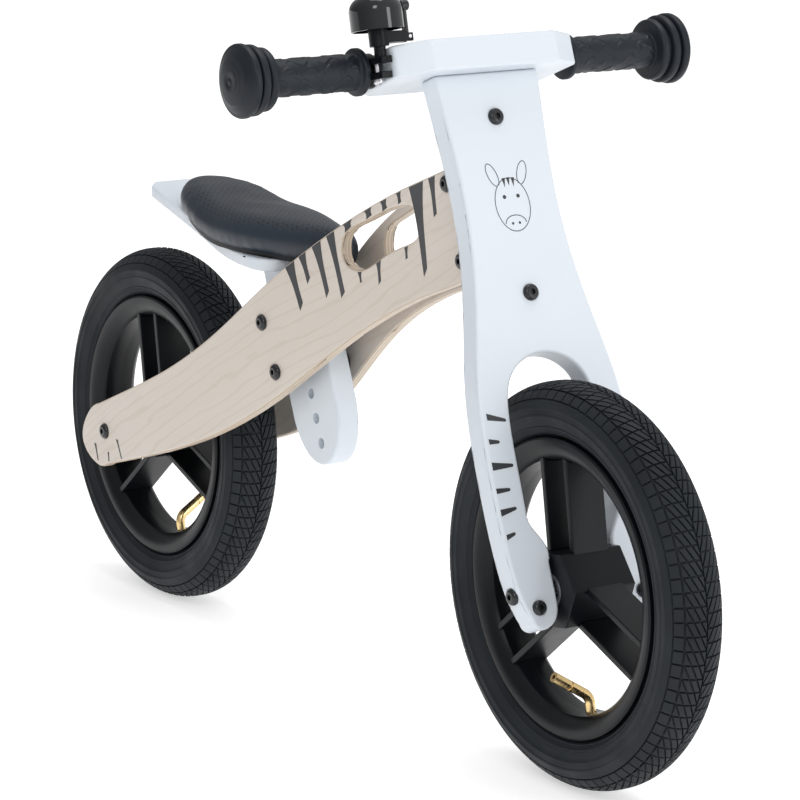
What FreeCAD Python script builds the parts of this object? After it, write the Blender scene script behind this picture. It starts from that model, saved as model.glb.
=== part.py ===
"""Wooden balance bike for a toddler: two bent plywood side plates, an adjustable seat, a steered
board fork with a bell on its handlebar, and two twelve-inch air-tyre wheels.

Row frame in millimetres: +X forward, +Y to the rider's left, +Z up, origin on the ground midway
between the axles. The fork is drawn in its own axes, with the front axle at the origin: X forward
from the board, Y left, Z up along the board. It is then leaned back and moved to the axle.
"""
import FreeCAD, Part
import math
import os
from FreeCAD import Placement, Rotation, Vector

os.makedirs("parts", exist_ok=True)

# Wheels and stance
TYRE_RADIUS = 150.0
TYRE_HALF_WIDTH = 24.35
BEAD_RADIUS = 105.0
BEAD_HALF_WIDTH = 14.2
TYRE_WALL = 3.5
TUBE_WALL = 1.4
WHEELBASE = 598.0
REAR_X = -WHEELBASE / 2
FRONT_X = WHEELBASE / 2
RIM_FLANGE_RADIUS = 110.5
RIM_HALF_WIDTH = 20.5
RIM_WINDOW_RADIUS = 93.0
HUB_HEX_RADIUS = 31.0
HUB_HALF_WIDTH = 27.0
SPOKE_OFFSET = 14.3
SPOKE_THICKNESS = 5.0
SPOKE_HALF_WIDTH = 15.5
SPOKE_PAIRS = 3
SPOKE_START_DEG = 100.0
SPOKE_ROOT_RADIUS = 18.0
SPOKE_TIP_RADIUS = 98.0
HUB_BORE_RADIUS = 8.0
VALVE_RADIUS = 3.85
VALVE_BEND_RADIUS = 10.0
VALVE_BEND_DEG = 58.0
VALVE_TIP_LENGTH = 30.0
BEARING_OUTER_RADIUS = 13.0
BEARING_WIDTH = 8.0
AXLE_RADIUS = 5.0
RUNNING_CLEARANCE = 0.03
HUB_GAP = 0.4

# Fork board, measured up the board from the axle
RAKE_DEG = 21.7
BOARD_THICKNESS = 20.0
BOARD_FRONT = BOARD_THICKNESS / 2
BOARD_BACK = -BOARD_THICKNESS / 2
BOARD_TOP = 382.0
LEG_INNER = 29.0
LEG_OUTER_AT_AXLE = 60.3
FORK_BOLT_HEIGHTS = (216.1, 348.0)
LEG_BOLT_HEIGHT = -11.3
LEG_BOLT_SIDE = 46.3
STEERING_BEHIND = -30.0
STEERING_PIN_RADIUS = 4.0
LUG_HALF_WIDTH = 16.0
UPPER_LUG = (328.0, 368.0)
LOWER_LUG = (196.0, 234.0)

# Handlebar
PLATE_THICKNESS = 24.0
PLATE_TOP = BOARD_TOP + PLATE_THICKNESS
BAR_HEIGHT = BOARD_TOP + PLATE_THICKNESS / 2 + 1.5
BAR_BEHIND = -19.4
BAR_RADIUS = 9.0
BAR_HALF_LENGTH = 184.0
BAR_WALL = 1.5
GRIP_START = 90.0
GRIP_RADIUS = 13.7
BUMPER_START = 170.0
BUMPER_END = 200.0

# Bell, in its own axes: origin on the bar's axis, X forward, Z up
BELL_SIDE = -85.2
BELL_LEAN_DEG = 8.0
BELL_FORWARD = 24.0
CLAMP_HALF_WIDTH = 4.5
DOME_RADIUS = 19.5
DOME_BASE = 27.0
DOME_HEIGHT = 25.0
DOME_WALL = 1.2
HAMMER_SIDE = 23.6
HAMMER_PIVOT = 21.0
HAMMER_PIN_RADIUS = 1.25
BELL_SCREW_RADIUS = 2.0
CLAMP_SCREW_FORWARD = 17.0

# Side plates: half-width of the pair's outer faces at the head and at the rear axle
PLY = 10.0
HEAD_HALF_WIDTH = 17.0
TAIL_HALF_WIDTH = 65.0
BEND_FRONT_X = 100.0
BEND_REAR_X = -260.0
HEAD_FRONT = -23.0
HEAD_BLOCK_BACK = -62.0
HEAD_BOLT_BEHIND = -45.0
HEAD_BOLT_HEIGHTS = (253.0, 312.0)
HEAD_BLOCK = (240.0, 321.5)

# Seat
POST_THICKNESS = 20.0
POST_HALF_WIDTH = 34.5
POST_LOW_HOLE = (-41.4, 186.3)
POST_LEAN_DEG = 23.2
POST_HOLE_PITCH = 20.5
POST_HOLES = 6
POST_HOLE_RADIUS = 4.5
BOLTED_HOLES = (3, 5)
SEAT_LEVEL = 330.0
SEAT_BOARD_THICKNESS = 10.0
SEAT_PAN_THICKNESS = 4.0
SEAT_PAN_INSET = 8.0
CUSHION_THICKNESS = 27.0
CUSHION_ROUNDING = 6.0
CUSHION_REAR = -254.0
CUSHION_NOSE = -10.0
SEAT_BOARD_FRONT = -80.0
SEAT_BOARD_END = -299.0
SEAT_BEND_X = -150.0
SEAT_BEND_RADIUS = 160.0
SEAT_RISE_DEG = 13.0

# Fasteners
M6_RADIUS = 3.0
M8_RADIUS = 4.0
HEAD_RADIUS = 6.3
HEAD_HEIGHT = 3.8
BOLT_RECESS = 0.6

ORIGIN = Vector(0, 0, 0)
X_AXIS = Vector(1, 0, 0)
Y_AXIS = Vector(0, 1, 0)
Z_AXIS = Vector(0, 0, 1)


# ---------------------------------------------------------------- helpers

def write(node, *solids):
    """Write one node as one STEP file, with a group of separate solids when there are several."""
    shape = solids[0] if len(solids) == 1 else Part.makeCompound(list(solids))
    shape.exportStep("parts/" + node + ".step")
    centimetres = round(shape.Volume / 1000, 2)
    print(node, "solids", len(shape.Solids), "valid", shape.isValid(), "cm3", centimetres)


def mirrored(shape):
    """The same piece on the other side of the XZ plane."""
    return shape.mirror(ORIGIN, Y_AXIS)


def cylinder(radius, start, end):
    """A round bar from one point to another."""
    axis = end - start
    return Part.makeCylinder(radius, axis.Length, start, axis)


def ring(outer, inner, start, end):
    """A round tube from one point to another."""
    return cylinder(outer, start, end).cut(cylinder(inner, start, end))


def box(low, high):
    """A block between two opposite corners."""
    size = high - low
    return Part.makeBox(size.x, size.y, size.z, low)


def spline(points):
    """A smooth edge through the points."""
    curve = Part.BSplineCurve()
    curve.interpolate(points)
    return curve.toShape()


def loop(points):
    """A smooth closed edge through the points."""
    curve = Part.BSplineCurve()
    curve.interpolate(points, PeriodicFlag=True)
    return curve.toShape()


def line(start, end):
    return Part.makeLine(start, end)


def arc(start, middle, end):
    return Part.Arc(start, middle, end).toShape()


def prism(edges, travel):
    """A solid made by moving the closed outline along the travel vector."""
    return Part.Face(Part.Wire(Part.sortEdges(edges)[0])).extrude(travel)


def aimed(shape, position, direction):
    """Turn a shape drawn along +Z to point along direction, then move it to position."""
    placed = shape.copy()
    placed.Placement = Placement(position, Rotation(Z_AXIS, direction)).multiply(placed.Placement)
    return placed


def button_bolt(length, radius, head_radius=HEAD_RADIUS):
    """Domed hex-socket bolt: the head sits on z = 0 and the shank goes down."""
    rim = 1.2
    crown = head_radius * 0.55
    profile = [
        line(Vector(0, 0, 0), Vector(head_radius, 0, 0)),
        line(Vector(head_radius, 0, 0), Vector(head_radius, 0, rim)),
        arc(Vector(head_radius, 0, rim), Vector(head_radius * 0.86, 0, 2.9),
            Vector(crown, 0, HEAD_HEIGHT)),
        line(Vector(crown, 0, HEAD_HEIGHT), Vector(0, 0, HEAD_HEIGHT)),
        line(Vector(0, 0, HEAD_HEIGHT), Vector(0, 0, 0)),
    ]
    head = Part.Face(Part.Wire(profile)).revolve(ORIGIN, Z_AXIS, 360)
    socket = hexagon(head_radius * 0.38, HEAD_HEIGHT - 2.3, HEAD_HEIGHT + 1)
    return head.cut(socket).fuse(cylinder(radius, Vector(0, 0, 0.5), Vector(0, 0, -length)))


def hexagon(radius, low, high):
    corners = [
        Vector(radius * math.cos(math.radians(60 * k)), radius * math.sin(math.radians(60 * k)), low)
        for k in range(7)
    ]
    return Part.Face(Part.makePolygon(corners)).extrude(Vector(0, 0, high - low))


def nut(radius, across=6.6, height=5.0):
    """Nut on z = 0, rising along +Z, open for a bolt of the given radius."""
    return hexagon(across, 0, height).cut(cylinder(radius, Vector(0, 0, -1), Vector(0, 0, height + 1)))


def fork_to_row(shape):
    """Lean a piece drawn in fork axes back by the rake and move it to the front axle."""
    placed = shape.copy()
    lean = Placement(Vector(FRONT_X, 0, TYRE_RADIUS), Rotation(Y_AXIS, -RAKE_DEG))
    placed.Placement = lean.multiply(placed.Placement)
    return placed


def fork_point(forward, up):
    """Row position, in the XZ plane, of a point given in fork axes."""
    lean = Rotation(Y_AXIS, -RAKE_DEG)
    return lean.multVec(Vector(forward, 0, up)) + Vector(FRONT_X, 0, TYRE_RADIUS)


# ---------------------------------------------------------------- wheels

def half_profile(points_and_edges):
    """Mirror half of a wheel section, drawn in the plane of radius (X) and width (Y), and spin it."""
    mirror = [edge.mirror(ORIGIN, Y_AXIS) for edge in points_and_edges]
    wire = Part.Wire(Part.sortEdges(points_and_edges + mirror)[0])
    return Part.Face(wire).revolve(ORIGIN, Y_AXIS, 360)


def section_point(radius, side):
    return Vector(radius, side, 0)


def tyre():
    at = section_point
    bead = [
        line(at(BEAD_RADIUS, 9.0), at(BEAD_RADIUS, BEAD_HALF_WIDTH)),
        line(at(BEAD_RADIUS, BEAD_HALF_WIDTH), at(RIM_FLANGE_RADIUS, BEAD_HALF_WIDTH)),
        arc(at(RIM_FLANGE_RADIUS, BEAD_HALF_WIDTH), at(119.5, 21.4), at(131.0, TYRE_HALF_WIDTH)),
        arc(at(131.0, TYRE_HALF_WIDTH), at(144.6, 16.6), at(TYRE_RADIUS, 0)),
    ]
    cavity = [
        line(at(BEAD_RADIUS, 9.0), at(112.0, 10.6)),
        arc(at(112.0, 10.6), at(120.0, 17.8), at(130.5, TYRE_HALF_WIDTH - TYRE_WALL)),
        arc(at(130.5, TYRE_HALF_WIDTH - TYRE_WALL), at(142.0, 14.0), at(TYRE_RADIUS - TYRE_WALL, 0)),
    ]
    return half_profile(bead + cavity)


def inner_tube():
    centre = 127.5
    half_height = 17.0
    half_width = 17.5
    skins = []
    for shrink in (0.0, TUBE_WALL):
        oval = Part.Ellipse(ORIGIN, half_width - shrink, half_height - shrink)
        section = Part.Wire(oval.toShape())
        section.Placement = Placement(section_point(centre, 0), Rotation(Z_AXIS, 90))
        skins.append(Part.Face(section).revolve(ORIGIN, Y_AXIS, 360))
    return skins[0].cut(skins[1])


def rim():
    at = section_point
    lip = RIM_FLANGE_RADIUS
    outer = [
        line(at(lip, BEAD_HALF_WIDTH), at(lip, RIM_HALF_WIDTH - 1.0)),
        line(at(lip, RIM_HALF_WIDTH - 1.0), at(lip - 1.5, RIM_HALF_WIDTH)),
        arc(at(lip - 1.5, RIM_HALF_WIDTH), at(98.5, 17.6), at(94.0, 12.5)),
        arc(at(94.0, 12.5), at(RIM_WINDOW_RADIUS, 7.0), at(RIM_WINDOW_RADIUS - 0.2, 0)),
    ]
    seat = [
        line(at(lip, BEAD_HALF_WIDTH), at(BEAD_RADIUS, BEAD_HALF_WIDTH)),
        line(at(BEAD_RADIUS, BEAD_HALF_WIDTH), at(BEAD_RADIUS, 8.0)),
        line(at(BEAD_RADIUS, 8.0), at(101.5, 5.5)),
        line(at(101.5, 5.5), at(101.5, 0)),
    ]
    return half_profile(outer + seat)


def turned(shape, degrees):
    """Turn a wheel piece about the axle, from +X towards +Z."""
    copy = shape.copy()
    copy.rotate(ORIGIN, Y_AXIS, -degrees)
    return copy


def spoked_wheel():
    """The moulded wheel: rim, hexagonal hub and three pairs of flat blades between them."""
    ring_part = rim()
    hub = hexagon(HUB_HEX_RADIUS, -HUB_HALF_WIDTH, HUB_HALF_WIDTH)
    hub.rotate(ORIGIN, X_AXIS, 90)
    hub = turned(hub, SPOKE_START_DEG - 90)
    blades = []
    for pair in range(SPOKE_PAIRS):
        for side in (-1, 1):
            middle = side * SPOKE_OFFSET
            low = Vector(SPOKE_ROOT_RADIUS, -SPOKE_HALF_WIDTH, middle - SPOKE_THICKNESS / 2)
            high = Vector(SPOKE_TIP_RADIUS, SPOKE_HALF_WIDTH, middle + SPOKE_THICKNESS / 2)
            blade = turned(box(low, high), SPOKE_START_DEG + 360 * pair / SPOKE_PAIRS)
            between = blade.cut(hub).cut(ring_part).Solids
            blades.append(max(between, key=lambda solid: solid.Volume))
    hub = hub.cut(cylinder(HUB_BORE_RADIUS, Y_AXIS * -30, Y_AXIS * 30))
    for side in (-1, 1):
        seat_start = Y_AXIS * (side * (HUB_HALF_WIDTH - BEARING_WIDTH))
        hub = hub.cut(cylinder(BEARING_OUTER_RADIUS, seat_start, Y_AXIS * (side * 30)))
    valve_hole = cylinder(VALVE_RADIUS + 0.35, X_AXIS * 85, X_AXIS * 112)
    ring_part = ring_part.cut(turned(valve_hole, SPOKE_START_DEG + 180))
    return ring_part, hub, blades


def valve(side):
    """Bent brass valve stem: out of the tube, in through the rim, then over to one side."""
    foot = 109.5
    bend_start = RIM_WINDOW_RADIUS - 6.0
    angle = math.radians(VALVE_BEND_DEG)
    start = Vector(bend_start, 0, 0)
    middle = bend_point(start, angle / 2, side)
    end = bend_point(start, angle, side)
    heading = Vector(-math.cos(angle), side * math.sin(angle), 0)
    tip = end + heading * VALVE_TIP_LENGTH
    path = Part.Wire([line(Vector(foot, 0, 0), start), arc(start, middle, end), line(end, tip)])
    section = Part.Wire(Part.Circle(Vector(foot, 0, 0), X_AXIS, VALVE_RADIUS).toShape())
    stem = path.makePipeShell([section], True, True)
    stem = stem.cut(cylinder(1.6, tip, tip - heading * 9.0))
    groove = ring(VALVE_RADIUS + 1, VALVE_RADIUS - 0.5, tip - heading * 16.0, tip - heading * 14.5)
    return turned(stem.cut(groove), SPOKE_START_DEG + 180)


def bend_point(start, angle, side):
    inward = VALVE_BEND_RADIUS * math.sin(angle)
    across = VALVE_BEND_RADIUS * (1 - math.cos(angle))
    return start + Vector(-inward, side * across, 0)


def bearings():
    rings = []
    for side in (-1, 1):
        start = Vector(0, side * (HUB_HALF_WIDTH - BEARING_WIDTH), 0)
        end = Vector(0, side * HUB_HALF_WIDTH, 0)
        rings.append(ring(BEARING_OUTER_RADIUS, AXLE_RADIUS + RUNNING_CLEARANCE, start, end))
    return rings


def axle(half_length):
    """Axle tapped at both ends for the axle bolts."""
    bar = cylinder(AXLE_RADIUS, Vector(0, -half_length, 0), Vector(0, half_length, 0))
    for side in (-1, 1):
        start = Vector(0, side * (half_length - 16), 0)
        bar = bar.cut(cylinder(M6_RADIUS, start, Vector(0, side * (half_length + 1), 0)))
    return bar


def write_wheel(name, axle_x, valve_side):
    centre = Vector(axle_x, 0, TYRE_RADIUS)
    ring_part, hub, blades = spoked_wheel()
    pieces = {"rim": [ring_part], "hub": [hub], "spokes": blades, "tyre": [tyre()],
              "inner_tube": [inner_tube()], "valve": [valve(valve_side)], "bearings": bearings()}
    for piece, solids in pieces.items():
        write(name + "_" + piece, *[solid.translated(centre) for solid in solids])


# ---------------------------------------------------------------- side plates

def plate_band():
    """The bent sheet of the right side plate, seen from above, as a tall solid."""
    poles = [(BEND_FRONT_X, HEAD_HALF_WIDTH), (BEND_FRONT_X - 120, HEAD_HALF_WIDTH),
             (BEND_REAR_X + 120, TAIL_HALF_WIDTH), (BEND_REAR_X, TAIL_HALF_WIDTH)]
    far_front = 220.0
    far_rear = -360.0
    edges = []
    for inset in (0.0, PLY):
        bend = Part.BezierCurve()
        bend.setPoles([Vector(x, inset - y, 0) for x, y in poles])
        edges.append(bend.toShape())
        edges.append(line(Vector(BEND_FRONT_X, inset - HEAD_HALF_WIDTH, 0),
                          Vector(far_front, inset - HEAD_HALF_WIDTH, 0)))
        edges.append(line(Vector(BEND_REAR_X, inset - TAIL_HALF_WIDTH, 0),
                          Vector(far_rear, inset - TAIL_HALF_WIDTH, 0)))
    for far_x, half_width in ((far_front, HEAD_HALF_WIDTH), (far_rear, TAIL_HALF_WIDTH)):
        edges.append(line(Vector(far_x, -half_width, 0), Vector(far_x, PLY - half_width, 0)))
    return prism(edges, Vector(0, 0, 500))


def plate_outline():
    """Side view of a plate: a long S from the head down to the rounded rear end."""
    head_top = fork_point(HEAD_FRONT, 322.5)
    head_bottom = fork_point(HEAD_FRONT, 238.5)
    neck_top = fork_point(-94.0, 322.5)
    neck_bottom = fork_point(-83.0, 238.0)
    top = [neck_top] + [Vector(x, 0, z) for x, z in
           ((33, 386.5), (-26, 350.5), (-83.5, 308), (-131, 268.5), (-200, 222.5), (-283, 184),
            (-312, 171.5))]
    rear = [top[-1]] + [Vector(x, 0, z) for x, z in
            ((-334, 155), (-339.8, 136.5), (-322, 120), (-296, 121.5))]
    bottom = [rear[-1]] + [Vector(x, 0, z) for x, z in
              ((-250.5, 135.5), (-187, 157), (-138, 178), (-104, 196.5), (-54, 229.5), (-9, 263),
               (25, 286.5), (64, 309.5))] + [neck_bottom]
    return [spline(top), spline(rear), spline(bottom), line(neck_bottom, head_bottom),
            line(head_bottom, head_top), line(head_top, neck_top)]


def handle_hole():
    """Carry handle: a long rounded slot, wider at its front end."""
    points = ((9.7, 352), (13, 364.5), (33.5, 377), (58.5, 389), (84.5, 397.5), (101, 396.5),
              (107, 386), (99, 373.5), (85, 367), (54, 351.5), (29.5, 339.5), (15, 342))
    return prism([loop([Vector(x, -100, z) for x, z in points])], Vector(0, 200, 0))


def half_width_at(x):
    """Half-width over the outer faces of the plates at a place along the bike."""
    t = min(max((BEND_FRONT_X - x) / (BEND_FRONT_X - BEND_REAR_X), 0.0), 1.0)
    return HEAD_HALF_WIDTH + (TAIL_HALF_WIDTH - HEAD_HALF_WIDTH) * t * t * (3 - 2 * t)


def cross_bolt_places():
    """Where the bolts cross the side plates: (position, shank radius)."""
    head = [(fork_point(HEAD_BOLT_BEHIND, up), M6_RADIUS) for up in HEAD_BOLT_HEIGHTS]
    seat = [(post_hole(index), M8_RADIUS) for index in BOLTED_HOLES]
    rear = [(Vector(REAR_X, 0, TYRE_RADIUS), M6_RADIUS)]
    return {"head": head, "seat": seat, "rear": rear}


def right_plate():
    outline = plate_outline()
    blank = prism([edge.translated(Vector(0, -80, 0)) for edge in outline], Vector(0, 80, 0))
    plate = blank.common(plate_band()).cut(handle_hole())
    for group in cross_bolt_places().values():
        for place, radius in group:
            face = half_width_at(place.x)
            plate = plate.cut(cylinder(radius + 0.3, place, place + Vector(0, -90, 0)))
            recess = place + Vector(0, BOLT_RECESS - face, 0)
            plate = plate.cut(cylinder(HEAD_RADIUS + 0.6, recess, place + Vector(0, -90, 0)))
    return plate


def cross_bolts(places):
    """Bolts through both plates, heads on the right, and cap nuts on the left."""
    bolts = []
    nuts = []
    for place, radius in places:
        face = half_width_at(place.x) - BOLT_RECESS
        length = 2 * face + 3
        bolts.append(aimed(button_bolt(length, radius), place + Vector(0, -face, 0), Vector(0, -1, 0)))
        nuts.append(aimed(cap_nut(radius), place + Vector(0, face, 0), Y_AXIS))
    return bolts, nuts


def cap_nut(radius):
    """Low domed nut with a blind hole for the bolt's end."""
    dome = button_bolt(0.0, 0.4).fuse(cylinder(HEAD_RADIUS, ORIGIN, Z_AXIS * 1.2))
    return dome.cut(cylinder(radius, -Z_AXIS, Z_AXIS * 3.0))


def write_frame():
    right = right_plate()
    left = mirrored(right)
    write("right_side_plate", right)
    write("left_side_plate", left)
    places = cross_bolt_places()
    gap = HEAD_HALF_WIDTH - PLY
    low, high = HEAD_BLOCK
    block = box(Vector(HEAD_BLOCK_BACK, -gap, low), Vector(HEAD_FRONT, gap, high))
    bushing_bore = 5.5
    block = block.cut(cylinder(bushing_bore, Vector(STEERING_BEHIND, 0, low - 1),
                               Vector(STEERING_BEHIND, 0, high + 1)))
    block = fork_to_row(block)
    for place, radius in places["head"]:
        block = block.cut(cylinder(radius + 0.3, place + Vector(0, -20, 0), place + Vector(0, 20, 0)))
    write("head_block", block)
    write("head_bushings", *[fork_to_row(bushing(face, way)) for face, way in ((low, 1), (high, -1))])
    for name in ("head", "seat"):
        bolts, nuts = cross_bolts(places[name])
        write(name + "_bolts", *bolts)
        write(name + "_nuts", *nuts)
    write("seat_spacers", *seat_spacers(places["seat"], right, left))


def bushing(face, way):
    """Flanged sleeve pressed into one end of the head block; its flange is the thrust face."""
    bore = STEERING_PIN_RADIUS + RUNNING_CLEARANCE
    foot = Vector(STEERING_BEHIND, 0, face)
    sleeve = ring(5.5, bore, foot, foot + Vector(0, 0, way * 30))
    flange = ring(6.9, bore, foot, foot + Vector(0, 0, -way * 1.8))
    return sleeve.fuse(flange)


def seat_spacers(places, right, left):
    """Sleeves that fill the gap between the seat post and each side plate."""
    sleeves = []
    for place, radius in places:
        for side, plate in ((-1, right), (1, left)):
            face = side * POST_THICKNESS / 2
            reach = side * (half_width_at(place.x) - 2)
            sleeve = ring(9.0, radius + 0.3, place + Vector(0, face, 0), place + Vector(0, reach, 0))
            pieces = sleeve.cut(plate).Solids
            sleeves.append(min(pieces, key=lambda piece: abs(piece.CenterOfMass.y)))
    return sleeves


def write_rear_axle():
    inner = TAIL_HALF_WIDTH - PLY
    centre = Vector(REAR_X, 0, TYRE_RADIUS)
    write("rear_axle", axle(inner).translated(centre))
    bolts = []
    spacers = []
    for side in (-1, 1):
        way = Y_AXIS * side
        seat = centre + way * (TAIL_HALF_WIDTH - BOLT_RECESS)
        bolts.append(aimed(button_bolt(PLY + 13, M6_RADIUS), seat, way))
        spacers.append(ring(9.0, AXLE_RADIUS, centre + way * (HUB_HALF_WIDTH + HUB_GAP),
                            centre + way * inner))
    write("rear_axle_bolts", *bolts)
    write("rear_axle_spacers", *spacers)


# ---------------------------------------------------------------- seat

def post_axis():
    """Directions up the seat post and forward across it."""
    lean = math.radians(POST_LEAN_DEG)
    return Vector(-math.sin(lean), 0, math.cos(lean)), Vector(math.cos(lean), 0, math.sin(lean))


def post_hole(index):
    """Centre of a height hole, counted up from the lowest."""
    up, _ = post_axis()
    return Vector(POST_LOW_HOLE[0], 0, POST_LOW_HOLE[1]) + up * (POST_HOLE_PITCH * index)


def seat_rise(x):
    """Height of the seat board's top above its level part, where its tail bends up."""
    bend = math.radians(SEAT_RISE_DEG)
    bend_end = SEAT_BEND_X - SEAT_BEND_RADIUS * math.sin(bend)
    if x >= SEAT_BEND_X:
        return 0.0
    if x >= bend_end:
        return SEAT_BEND_RADIUS - math.sqrt(SEAT_BEND_RADIUS ** 2 - (SEAT_BEND_X - x) ** 2)
    return SEAT_BEND_RADIUS * (1 - math.cos(bend)) + (bend_end - x) * math.tan(bend)


def seat_band(low, high, front=40.0, rear=-310.0, half_width=90.0):
    """A sheet that follows the seat's bent profile between two heights above its level part."""
    bend = math.radians(SEAT_RISE_DEG)
    bend_middle = SEAT_BEND_X - SEAT_BEND_RADIUS * math.sin(bend / 2)
    bend_end = SEAT_BEND_X - SEAT_BEND_RADIUS * math.sin(bend)
    edges = []
    ends = []
    for height in (SEAT_LEVEL + low, SEAT_LEVEL + high):
        at = [Vector(x, -half_width, height + seat_rise(x)) for x in
              (front, SEAT_BEND_X, bend_middle, bend_end, rear)]
        edges += [line(at[0], at[1]), arc(at[1], at[2], at[3]), line(at[3], at[4])]
        ends.append((at[0], at[4]))
    edges += [line(ends[0][0], ends[1][0]), line(ends[0][1], ends[1][1])]
    return prism(edges, Vector(0, 2 * half_width, 0))


def saddle_plan(inset):
    """Plan of the saddle: broad at the back, drawn in to a narrow nose between the side plates."""
    half = ((-242, 25), (-202, 42), (-155, 46.5), (-103, 40.5), (-70, 29.5), (-48, 21), (-32, 15), (-18, 10.5))
    widest = 46.5
    middle = (CUSHION_REAR + CUSHION_NOSE) / 2
    reach = (CUSHION_NOSE - CUSHION_REAR) / 2
    tail = Vector(CUSHION_REAR + inset, 0, 300)
    nose = Vector(CUSHION_NOSE - inset, 0, 300)
    left = [Vector(x - inset * (x - middle) / reach, y * (1 - inset / widest), 300) for x, y in half]
    right = [Vector(p.x, -p.y, 300) for p in reversed(left)]
    return prism([loop([tail] + left + [nose] + right)], Vector(0, 0, 100))


def seat_post():
    """Leaned post with a rounded foot, stepped at its top to carry the seat board."""
    up, forward = post_axis()
    half = POST_THICKNESS / 2
    centre = post_hole(0) + up * 30.0
    nose_rise = 47.5
    length = 170.0
    left = centre - forward * POST_HALF_WIDTH
    right = centre + forward * POST_HALF_WIDTH
    foot = []
    for degrees in range(0, 181, 30):
        turn = math.radians(degrees)
        across = forward * (POST_HALF_WIDTH * math.cos(turn))
        foot.append(centre + across - up * (nose_rise * math.sin(turn)))
    outline = [spline(foot), line(left, left + up * length),
               line(left + up * length, right + up * length), line(right + up * length, right)]
    post = prism([edge.translated(Vector(0, -half, 0)) for edge in outline], Vector(0, 2 * half, 0))
    board_bottom = SEAT_LEVEL - SEAT_BOARD_THICKNESS
    post = post.cut(box(Vector(-400, -40, SEAT_LEVEL), Vector(100, 40, 520)))
    post = post.cut(box(Vector(-400, -40, board_bottom), Vector(SEAT_BOARD_FRONT, 40, 520)))
    for index in range(POST_HOLES):
        hole = post_hole(index)
        post = post.cut(cylinder(POST_HOLE_RADIUS, hole - Y_AXIS * 40, hole + Y_AXIS * 40))
    return post


def seat_board():
    """Board under the saddle: rounded front corners, sides drawn in behind, cut corners at the tail."""
    def at(x, y):
        return Vector(x, y, 250)

    tail_half = 24.0
    wide_half = 40.0
    corner = 8.0
    front_round = 20.0
    cut_x = SEAT_BOARD_END + corner
    round_x = SEAT_BOARD_FRONT - front_round
    cut_corner = front_round * (1 - math.cos(math.radians(45)))
    plan = [line(at(SEAT_BOARD_FRONT, front_round - wide_half), at(SEAT_BOARD_FRONT, wide_half - front_round)),
            line(at(SEAT_BOARD_END, tail_half - corner), at(SEAT_BOARD_END, corner - tail_half))]
    for side in (-1, 1):
        flank = [at(cut_x, side * tail_half), at(-215, side * 26.0), at(-165, side * 30.5),
                 at(-130, side * 37.5), at(round_x, side * wide_half)]
        plan.append(spline(flank))
        plan.append(line(flank[0], at(SEAT_BOARD_END, side * (tail_half - corner))))
        plan.append(arc(flank[-1], at(SEAT_BOARD_FRONT - cut_corner, side * (wide_half - cut_corner)),
                        at(SEAT_BOARD_FRONT, side * (wide_half - front_round))))
    return seat_band(-SEAT_BOARD_THICKNESS, 0).common(prism(plan, Vector(0, 0, 200)))


def seat_cushion():
    """Foam pad with its cover, its upper rim rounded over."""
    base = SEAT_PAN_THICKNESS
    top = SEAT_LEVEL + base + CUSHION_THICKNESS
    cushion = seat_band(base, base + CUSHION_THICKNESS).common(saddle_plan(0.0))
    rim_edges = []
    for edge in cushion.Edges:
        points = edge.discretize(5)
        on_top = all(abs(p.z - top - seat_rise(p.x)) < 1.0 for p in points)
        follows_rim = all(p.y * points[0].y > 0 for p in points[1:-1])
        if on_top and follows_rim:
            rim_edges.append(edge)
    return cushion.makeFillet(CUSHION_ROUNDING, rim_edges)


def write_seat():
    post = seat_post()
    board = seat_board()
    pan = seat_band(0, SEAT_PAN_THICKNESS).common(saddle_plan(SEAT_PAN_INSET))
    screws = []
    for side in (-1, 1):
        place = Vector(-135, side * 19.0, SEAT_LEVEL - SEAT_BOARD_THICKNESS)
        screws.append(aimed(button_bolt(SEAT_BOARD_THICKNESS + 3, 2.0, 4.2), place, -Z_AXIS))
    post_screws = []
    for x in (-122, -84):
        place = Vector(x, 0, SEAT_LEVEL + SEAT_PAN_THICKNESS)
        post_screws.append(aimed(flat_screw(45.0, 2.5, 5.0), place, Z_AXIS))
    for screw in screws + post_screws:
        board = board.cut(screw)
        pan = pan.cut(screw)
    for screw in post_screws:
        post = post.cut(screw)
    write("seat_post", post)
    write("seat_board", board)
    write("seat_pan", pan)
    write("seat_cushion", seat_cushion())
    write("seat_board_screws", *screws)
    write("seat_post_screws", *post_screws)


def flat_screw(length, radius, head_radius):
    """Countersunk screw with its flat head level with z = 0."""
    cone = Part.makeCone(radius, head_radius, 3.0, Vector(0, 0, -3.0), Z_AXIS)
    return cone.fuse(cylinder(radius, Vector(0, 0, -2.5), Vector(0, 0, -length)))


# ---------------------------------------------------------------- fork

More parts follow.
